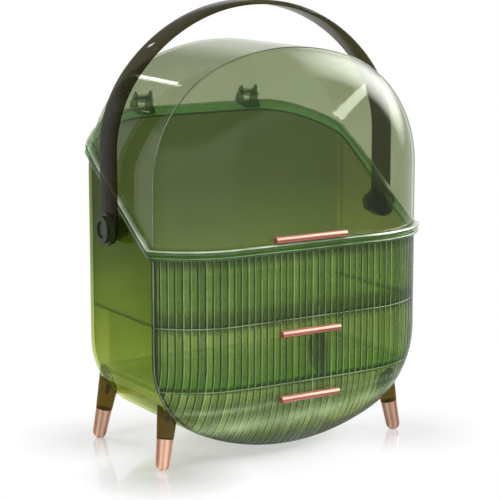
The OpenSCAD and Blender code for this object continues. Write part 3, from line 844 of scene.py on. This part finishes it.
def rib_columns(x_end):
    """Columns of a fluted wall out to x_end on both sides: (x, depth of the flute, step number)."""
    columns = []
    for i in range(FLUTES * PER_FLUTE + 1):
        rib = i // PER_FLUTE + (across(i) + 1) / 2
        x = plan_x(RUN_LENGTH * (rib / FLUTES - 0.5))
        if abs(x) < x_end:
            columns.append((x, flute(i), i))
    return columns


def front_y(x, z):
    """Y of the smooth front at a point of the XZ plane."""
    return Y_FRONT - rise(FRONT_BULGE, 0, depth_in(x, z))


def front_slope(x, z, h):
    """How much the smooth front's Y changes along x and along z."""
    return ((front_y(x + h, z) - front_y(x - h, z)) / (2 * h),
            (front_y(x, z + h) - front_y(x, z - h)) / (2 * h))


def outer_point(x, z, sunk):
    """Point of the ribbed face, sunk from the smooth front along Y."""
    return (x, min(front_y(x, z) + sunk, Y_FRONT - OUTER_STOP), z)


def inner_point(x, z, z1):
    """Point one wall in from the smooth front, square to it, and no higher than z1."""
    slope_x, slope_z = front_slope(x, z, SLOPE_STEP)
    n = math.sqrt(1 + slope_x * slope_x + slope_z * slope_z)
    y = min(front_y(x, z) + WALL / n, Y_FRONT - INNER_STOP)
    return (x - WALL * slope_x / n, y, min(z - WALL * slope_z / n, z1))


def fluted_panel(bottom, z1, rows, x_end, painted_sheen=lambda x, z: 0.0):
    """Closed wall with ribs outside and a smooth inner face.

    bottom(x) gives its lower edge, and the last argument the painted sheen at (x, z): pale on its inner face,
    weaker on its outer face.
    """
    rings = []
    grooves = []
    painted_light = []
    tones = []
    for x, sunk, i in rib_columns(x_end):
        z0 = bottom(x)
        heights = [z0 + (z1 - EDGE_R - z0) * eased(j, rows) for j in range(rows + 1)]
        outer = [outer_point(x, z, sunk) for z in heights]
        for q in map(math.radians, EDGE_TURNS):
            z = z1 - EDGE_R + EDGE_R * math.sin(q)
            outer.append(outer_point(x, z, sunk + EDGE_R * (1 - math.cos(q))))
        inside = [inner_point(x, z, z1) for z in reversed(heights + [z1])]
        # Painted shade in grooves, in strips at the sides and foot and on the row just under the round top
        # edge; painted highlights as a line on each rib, on the round top edge and as the sheen
        in_shade = abs(across(i)) > GROOVE_FROM or abs(x) > x_end - SIDE_STRIP
        tone = rib_tone(i // PER_FLUTE)
        painted_highlight = (PAINTED_RIB_HIGHLIGHT - 0.3 * tone) * (i % PER_FLUTE == PAINTED_RIB_HIGHLIGHT_STEP)
        for k, (_, _, z) in enumerate(outer):
            grooves.append(in_shade or z < z0 + FOOT_STRIP or k == rows)
            painted_light.append(PAINTED_TOP_HIGHLIGHT if k > rows else painted_highlight + OUTER_PAINTED_SHEEN * painted_sheen(x, z))
        grooves += [False] * len(inside)
        painted_light += [painted_sheen(px, pz) for px, _, pz in inside]
        tones += [tone] * (len(outer) + len(inside))
        rings.append(outer + inside)
    bm = lofted(rings, caps=(True, True))
    mark(bm, "groove", lambda vert: float(grooves[vert.index]))
    mark(bm, "painted_light", lambda vert: painted_light[vert.index])
    mark(bm, "tone", lambda vert: tones[vert.index])
    bmesh.ops.remove_doubles(bm, verts=bm.verts, dist=10 * MERGE)
    face_out(bm)
    return bm


def underside(x):
    """Height of the outline's underside at x."""
    u = abs(x) - (HALF_W - BOTTOM_CORNER)
    if u < BOTTOM_CORNER * math.cos(BOTTOM_ANGLE):
        return BOTTOM_CZ - math.sqrt(BOTTOM_CROWN ** 2 - x * x)
    return Z_LOW - math.sqrt(BOTTOM_CORNER ** 2 - u * u)


TRAY_TOP = RIM_Z - RIM_H
MIDDLE_Z0 = SHELF_Z + 0.0005
MIDDLE_Z1 = TRAY_Z - FRONT_GAP / 2
LOWER_Z1 = MIDDLE_Z0 - FRONT_GAP
TRAY_END = HALF_W - 0.0004
MIDDLE_END = HALF_W - 0.0006
LOWER_END = outline_x(LOWER_Z1 - 0.0015, 0) - 0.0006
FOOT_GAP = 0.0002
# Painted reflection bands on the lower front: height at the middle, rise with x, half height and strength
PAINTED_SHEEN_BANDS = ((0.044, 0.06, 0.008, 0.6), (0.063, 0.04, 0.003, 0.3))


def lower_foot(x):
    """Lower edge of the lower front, just inside the outline."""
    return underside(x) + FOOT_GAP


def lower_painted_sheen(x, z):
    """Painted reflection: pale bands that rise a little to the right, where the drawer's trough would mirror
    light.
    """
    return sum(strength * math.exp(-((z - middle - lean * x) / half) ** 2)
               for middle, lean, half, strength in PAINTED_SHEEN_BANDS)


tray_front = add_piece("tray_fluted_front", fluted_panel(lambda x: TRAY_Z, TRAY_TOP, 10, TRAY_END),
                       front, "casing", 70)
middle_front = add_piece("middle_drawer_fluted_front",
                         fluted_panel(lambda x: max(MIDDLE_Z0, lower_foot(x)), MIDDLE_Z1, 16, MIDDLE_END),
                         front, "middle_drawer", 70)
lower_front = add_piece("lower_drawer_fluted_front",
                        fluted_panel(lower_foot, LOWER_Z1, 34, LOWER_END, lower_painted_sheen),
                        front, "lower_drawer", 70)

# Floors and tubs behind the fronts

PLATE_EDGE = 0.0005
FLOOR_SUNK = 0.0005
FLOOR_BACK_GAP = 0.0002
TUB_LIFT = 0.0003
TUB_STEPS = 8
TUB_FRONT_Y = Y_FRONT + 0.001
MIDDLE_H = 0.054
LOWER_TOP = SHELF_Z - 0.007
TROUGH_FRONT_Y = Y_FRONT - 0.0026
TROUGH_PAINTED_LIGHT = 0.55
TROUGH_PAINTED_LIGHT_Z = 0.045


def half_plan(bulge, inset, side, steps=24):
    """Plan of a smooth bulge drawn in by inset, from left to right."""
    right = []
    for i in range(steps, -1, -1):
        depth = inset + (BULGE_RUN - inset) * eased(i, steps)
        right.append((HALF_W - depth, bulge_y(bulge, inset, side, depth)))
    return [(-x, y) for x, y in reversed(right)] + right


def plate(name, points, z0, z1, body):
    """A level plate or standing wall of clear inner plastic, from its plan."""
    bm = prism(points, z0, z1, lambda z, x, y: (x, y, z))
    soften(add_piece(name, bm, inner, body), PLATE_EDGE, 2, 60)


def tub_path(inset):
    """The three walls of the middle drawer's tub in plan, from its left front round the back."""
    r, x, y = TUB_CORNER - inset, TUB_X - TUB_CORNER, TUB_REAR - TUB_CORNER
    turns = [math.pi - math.pi / 2 * i / TUB_STEPS for i in range(TUB_STEPS + 1)]
    left = [(-x + r * math.cos(q), y + r * math.sin(q)) for q in turns]
    right = [(-px, py) for px, py in reversed(left)]
    return [(inset - TUB_X, TUB_FRONT_Y)] + left + right + [(TUB_X - inset, TUB_FRONT_Y)]


def trough(inset):
    """Lower part of the outline drawn in by inset, cut off level at the tub's top, left to right."""
    x_end = outline_x(LOWER_TOP, inset)
    points = sorted((x, z) for x, z in outline(inset) if z < LOWER_TOP)
    return [(-x_end, LOWER_TOP)] + points + [(x_end, LOWER_TOP)]


def make_tray_floor():
    """Floor of the fixed compartment, between its front and the casing's back."""
    plan = (half_plan(FRONT_BULGE, WALL - FLOOR_SUNK, -1)
            + list(reversed(half_plan(BACK_BULGE, WALL + FLOOR_BACK_GAP, 1))))
    plate("tray_floor", plan, TRAY_Z, TRAY_Z + WALL, "casing")


def make_middle_tub():
    """Straight walls with round rear corners, and a floor that reaches into the front's bulge."""
    inside = list(reversed(tub_path(TUB_WALL)))
    z0 = SHELF_Z + TUB_LIFT
    plate("middle_drawer_walls", tub_path(0) + inside, z0, SHELF_Z + MIDDLE_H, "middle_drawer")
    plan = [p for p in half_plan(FRONT_BULGE, WALL, -1) + inside if abs(p[0]) < TUB_X]
    plate("middle_drawer_floor", plan, z0, SHELF_Z + TUB_WALL, "middle_drawer")


def make_lower_tub():
    """A trough that follows the casing's underside, closed by a rear wall."""
    inside = trough(LOWER_INSET + TUB_WALL)
    bm = prism(trough(LOWER_INSET) + list(reversed(inside)), TROUGH_FRONT_Y, TUB_REAR,
               lambda y, x, z: (x, y, z))
    # Painted light: a pale patch low on the trough's rear half
    mark(bm, "painted_light", lambda vert: TROUGH_PAINTED_LIGHT if vert.co.y > 0 and vert.co.z < TROUGH_PAINTED_LIGHT_Z else 0.0)
    walls = add_piece("lower_drawer_trough", bm, inner, "lower_drawer")
    soften(walls, PLATE_EDGE, 2, 60)
    bm = prism(inside, TUB_REAR - TUB_WALL, TUB_REAR, lambda y, x, z: (x, y, z))
    add_piece("lower_drawer_rear", bm, inner, "lower_drawer")


make_tray_floor()
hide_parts("top_tray")
make_middle_tub()
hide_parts("middle_drawer")
make_lower_tub()
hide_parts("lower_drawer")

# Handle: one bent band with round ends

HANDLE_W = 0.030
HANDLE_T = 0.0044
HANDLE_TOP = 0.4395
HANDLE_SPRING = 0.300
HANDLE_CORNER = 0.120
HANDLE_HALF = ARM_X + HANDLE_T
HANDLE_CROWN = crown(HANDLE_HALF, HANDLE_CORNER, HANDLE_TOP - HANDLE_SPRING)
HANDLE_CZ = HANDLE_TOP - HANDLE_CROWN
HANDLE_ANGLE = math.atan2(HANDLE_SPRING - HANDLE_CZ, HANDLE_HALF - HANDLE_CORNER)
BAND_EDGE = 0.0016
BAND_TIP = 0.0012
END_STEPS = 12
ARM_STEPS = 9
BEND_STEPS = 28


def handle_path():
    """Stations of the band's outer face: (point, outward direction, half width)."""
    half = HANDLE_W / 2
    stations = []
    for i in range(END_STEPS):
        drop = half * math.cos(math.pi / 2 * i / END_STEPS)
        stations.append(((HANDLE_HALF, PIVOT.z - drop), (1, 0), math.sqrt(half ** 2 - drop ** 2)))
    for i in range(ARM_STEPS):
        z = PIVOT.z + (HANDLE_SPRING - PIVOT.z) * i / ARM_STEPS
        stations.append(((HANDLE_HALF, z), (1, 0), half))
    cx = HANDLE_HALF - HANDLE_CORNER
    for i in range(BEND_STEPS):
        q = HANDLE_ANGLE * i / BEND_STEPS
        n = (math.cos(q), math.sin(q))
        stations.append(((cx + HANDLE_CORNER * n[0], HANDLE_SPRING + HANDLE_CORNER * n[1]), n, half))
    for i in range(BEND_STEPS + 1):
        q = HANDLE_ANGLE + (math.pi / 2 - HANDLE_ANGLE) * i / BEND_STEPS
        n = (math.cos(q), math.sin(q))
        stations.append(((HANDLE_CROWN * n[0], HANDLE_CZ + HANDLE_CROWN * n[1]), n, half))
    mirror = [((-p[0], p[1]), (-n[0], n[1]), w) for p, n, w in reversed(stations[:-1])]
    return stations + mirror


def band_section(half, count=5):
    """Section of the band: (across, below the outer face), with round edges."""
    r = min(BAND_EDGE, half * 0.9)
    points = []
    for cy, cz, a0 in ((half - r, r, 90), (half - r, HANDLE_T - r, 0),
                       (r - half, HANDLE_T - r, -90), (r - half, r, -180)):
        for i in range(count):
            q = math.radians(a0 - 90 * i / (count - 1))
            points.append((cy + r * math.cos(q), cz - r * math.sin(q)))
    return points


rings = []
for (px, pz), (nx, nz), half in handle_path():
    section = band_section(max(half, BAND_TIP))
    rings.append([(px - nx * v, PIVOT.y + u, pz - nz * v) for u, v in section])
bm = lofted(rings, caps=(True, True))
face_out(bm)
handle = add_piece("handle_band", bm, smoky, "handle", 60)
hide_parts("handle")

# CAD pieces whose shape is right: finish and soft edges

CORNERS = ("front_left", "front_right", "rear_left", "rear_right")
# Material, width of the soft edges, and the pieces that have them
FINISHES = (
    (inner, 0.0004, ["divider_shelf"]),
    (rose_bar, 0.0006, ["lid_bar", "middle_drawer_bar", "lower_drawer_bar"]),
    (steel, 0.0003, ["lid_bar_screws", "middle_bar_screws", "lower_bar_screws"]),
    (steel, 0.0003, ["hinge_pin_left", "hinge_pin_right", "leg_screws"]),
    (knob, 0.0008, ["knob_left", "knob_right"]),
    (shell, 0.0008, ["pivot_nut_left", "pivot_nut_right"]),
    (amber, 0.0004, ["leg_" + corner for corner in CORNERS]),
    (rose_cap, 0.0003, ["cap_" + corner for corner in CORNERS]),
)
for material, width, names in FINISHES:
    for name in names:
        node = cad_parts[name]
        node.data.materials.clear()
        node.data.materials.append(material)
        soften(node, width, 3, 35)

# Floor and surroundings

# Light and dark sides of the studio as shiny things mirror them, by share of a full turn
PANELS = greys((0.08, 1), (0.14, 0.4), (0.27, 0.4), (0.34, 1), (0.54, 1), (0.61, 0.4), (0.70, 0.4), (0.78, 1))
# Its brightness from straight down to straight up: as it lights the object, and as it is mirrored
SKY = greys((0.0, 0.9), (0.5, 0.8), (0.75, 0.6), (1.0, 0.9))
MIRRORED_SKY = greys((0.0, 0.9), (0.62, 1), (0.69, 0.3), (1.0, 0.45))
# Painted shade: a grey patch round this middle that fades to white between these distances, letting the real
# shadow show
SHADE_MIDDLE = (-0.03, 0.02, 0.0)
SHADE_FROM = 0.085
SHADE_TO = 0.17
FOOT = (0.14, 0.07, 0.0)
POLISH_FROM = 0.02
POLISH_TO = 0.085
FLOOR_RADII = (3.0, 1.5, 0.75, 0.3)
FLOOR_SIDES = 96


def studio_panels(n, direction):
    """The studio's panels, looked up by the azimuth of a direction."""
    turn = n.maths("ARCTAN2", direction["X"], n.maths("MULTIPLY", direction["Y"], -1.0))
    return n.ramp(n.maths("MULTIPLY_ADD", turn, 0.5 / math.pi, 0.5), PANELS)


def faded(n, value, start, end, first, last):
    """A value brought from start to end into first to last."""
    node = n.add("MapRange", From_Min=start, From_Max=end, To_Min=first, To_Max=last)
    n.put(node.inputs["Value"], value)
    return node.outputs["Result"]


def floor_material():
    """Pale floor: grey round the body, where painted shade joins the lamps' real shadow, white further out,
    polished round the four feet.
    """
    material, n, surface = new_material("floor_white")
    coords = n.coords()
    ray = n.new("LightPath").outputs
    far = faded(n, n.vector_maths("DISTANCE", coords, SHADE_MIDDLE), SHADE_FROM, SHADE_TO, 0.38, 1.0)
    quarter = n.vector_maths("ABSOLUTE", coords)
    polish = faded(n, n.vector_maths("DISTANCE", quarter, FOOT), POLISH_FROM, POLISH_TO, 0.4, 0.0)
    grain = n.ramp(n.noise(40, 3), greys((0.3, 0.86), (0.7, 0.88)))
    base = n.add("BsdfPrincipled", Base_Color=grain, Roughness=0.5).outputs[0]
    white = n.add("Emission", Color=(1, 1, 1, 1), Strength=1.0).outputs[0]
    panels = n.add("Emission", Color=studio_panels(n, n.split(coords)), Strength=1.0).outputs[0]
    white = n.mix_shader(ray["Is Glossy Ray"], white, panels)
    seen = n.maths("MAXIMUM", ray["Is Camera Ray"], ray["Is Glossy Ray"])
    base = n.mix_shader(n.maths("MULTIPLY", seen, far), base, white)
    mirror = n.add("BsdfGlossy", Roughness=0.015).outputs[0]
    shine = n.maths("MULTIPLY", ray["Is Camera Ray"], polish)
    n.put(surface, n.mix_shader(shine, base, mirror))
    return material


# A wide disc at z = 0 that faces up
turns = [2 * math.pi * i / FLOOR_SIDES for i in range(FLOOR_SIDES)]
rings = [[(r * math.cos(q), r * math.sin(q), 0) for q in turns] for r in FLOOR_RADII]
bm = lofted(rings, caps=(False, True))
face_out(bm)
floor = new_object("studio_floor", bm, floor_material())
if floor.data.polygons[0].normal.z < 0:
    floor.data.flip_normals()

# White as the camera sees it, soft grey as it lights, and panelled as it is mirrored
world = bpy.data.worlds.new("studio")
SCENE.world = world
world.use_nodes = True
world.node_tree.nodes.clear()
n = Nodes(world.node_tree)
ray = n.new("LightPath").outputs
direction = n.split(n.coords("Generated"))
up = n.half_share(direction["Z"])
ambient = n.add("Background", Color=n.ramp(up, SKY), Strength=0.8).outputs[0]
panelled = n.mix_colour(1.0, n.ramp(up, MIRRORED_SKY), studio_panels(n, direction), "MULTIPLY")
mirrored = n.add("Background", Color=panelled, Strength=1.0).outputs[0]
ambient = n.mix_shader(ray["Is Glossy Ray"], ambient, mirrored)
white = n.add("Background", Color=(1, 1, 1, 1), Strength=1.0).outputs[0]
seen = n.maths("MAXIMUM", ray["Is Camera Ray"], ray["Is Transmission Ray"])
n.put(n.new("OutputWorld").inputs["Surface"], n.mix_shader(seen, ambient, white))

# Camera, as fitted to the photo

AZIMUTH = math.radians(-31.7)
ELEVATION = math.radians(10.72)
DISTANCE = 1.858
TARGET = Vector((-0.0028, -0.005, 0.19166))
PICTURE = 500
to_camera = Vector((math.sin(AZIMUTH) * math.cos(ELEVATION), -math.cos(AZIMUTH) * math.cos(ELEVATION),
                    math.sin(ELEVATION)))
camera = bpy.data.objects.new("camera", bpy.data.cameras.new("camera"))
camera.location = TARGET + to_camera * DISTANCE
camera.rotation_euler = to_camera.to_track_quat("Z", "Y").to_euler()
camera.data.sensor_width = 36
camera.data.lens = 134.29
SCENE.collection.objects.link(camera)
SCENE.camera = camera

# Light

BODY_MIDDLE = (0, 0, 0.2)
DOME = (0.07, -0.09, 0.36)
# Slanted highlight on the lid, as spots of the picture: the corners of its lower and upper end
STRIP_LOW = (Vector((332, 113)), Vector((342, 120)))
STRIP_HIGH = (Vector((365, 82)), Vector((367, 95)))
STRIP_AWAY = 1.5
STRIP_ROWS = 4


def fade_to_edges(light):
    """Lets a lamp fade towards its edges with the same power in all, as 9 / 4 makes up for."""
    light.use_nodes = True
    light.node_tree.nodes.clear()
    n = Nodes(light.node_tree)
    place = n.split(n.new("NewGeometry").outputs["Parametric"])
    fade = 9 / 4
    for side in ("X", "Y"):
        u = n.maths("MULTIPLY_ADD", place[side], 2.0, -1.0)
        fade = n.maths("MULTIPLY", fade, n.maths("SUBTRACT", 1.0, n.maths("MULTIPLY", u, u)))
    n.put(n.new("OutputLight").inputs[0], n.add("Emission", Strength=fade).outputs[0])


def area_light(name, place, target, size, power, along=(1, 0, 0), soft=False, lights=True, shines=True):
    """A rectangular lamp, its first side along a direction; it isn't mirrored unless it shines."""
    light = bpy.data.lights.new(name, "AREA")
    light.shape = "RECTANGLE"
    light.size, light.size_y = size
    light.energy = power
    if soft:
        fade_to_edges(light)
    lamp = bpy.data.objects.new(name, light)
    lamp.location = place
    back = (Vector(place) - Vector(target)).normalized()
    side = (Vector(along) - back * back.dot(Vector(along))).normalized()
    lamp.rotation_euler = Matrix((side, back.cross(side), back)).transposed().to_euler()
    lamp.visible_diffuse = lights
    lamp.visible_glossy = shines
    SCENE.collection.objects.link(lamp)


def mirrored_place(spot, away):
    """Place that the lid's front mirrors at a spot of the picture, at a distance from the lid."""
    side = Vector((0, 0, 1)).cross(to_camera).normalized()
    step = camera.data.sensor_width / camera.data.lens / PICTURE
    right, down = (spot.x - PICTURE / 2) * step, (spot.y - PICTURE / 2) * step
    line = (side * right - to_camera.cross(side) * down - to_camera).normalized()
    near, far = DISTANCE - 0.3, DISTANCE + 0.3
    for _ in range(40):
        middle = (near + far) / 2
        point = camera.location + line * middle
        if point.y > front_y(point.x, point.z):
            far = middle
        else:
            near = middle
    slope_x, slope_z = front_slope(point.x, point.z, 0.00001)
    normal = Vector((slope_x, -1, slope_z)).normalized()
    return point + away * line.reflect(normal)


def make_strip():
    """A glowing ribbon bent so that the curved lid mirrors it as a straight patch."""
    rows = []
    for i in range(STRIP_ROWS + 1):
        ends = [low.lerp(high, i / STRIP_ROWS) for low, high in zip(STRIP_LOW, STRIP_HIGH)]
        rows.append([mirrored_place(end, STRIP_AWAY) for end in ends])
    material, n, surface = new_material("strip_light")
    n.put(surface, n.add("Emission", Color=(0.94, 1.0, 0.90, 1), Strength=12.0).outputs[0])
    strip = new_object("slanted_strip", lofted(rows, closed_rings=False), material)
    strip.visible_camera = strip.visible_diffuse = False
    strip.visible_transmission = strip.visible_shadow = False


area_light("key_softbox", (1.3, -1.2, 1.7), BODY_MIDDLE, size=(0.9, 0.9), power=34, shines=False)
area_light("side_softbox", (-1.6, -0.3, 0.9), BODY_MIDDLE, size=(1.4, 0.5), power=14,
           along=(0, 0, 1), shines=False)
area_light("back_softbox", (-0.5, 1.6, 1.3), BODY_MIDDLE, size=(1.2, 0.5), power=22, shines=False)
area_light("right_glow", (1.286, -0.083, 1.059), DOME, size=(1.75, 1.15), power=38,
           along=(0.43, 0.41, -0.80), soft=True, lights=False)
make_strip()
area_light("rear_strip", (-0.088, 1.304, 1.101), (-0.088, 1.024, 0.141),
           size=(0.13, 0.045), power=0.2, along=(-0.22, -0.93, 0.27), lights=False)

SCENE.view_settings.view_transform = "Standard"
SCENE.cycles.transparent_max_bounces = 48
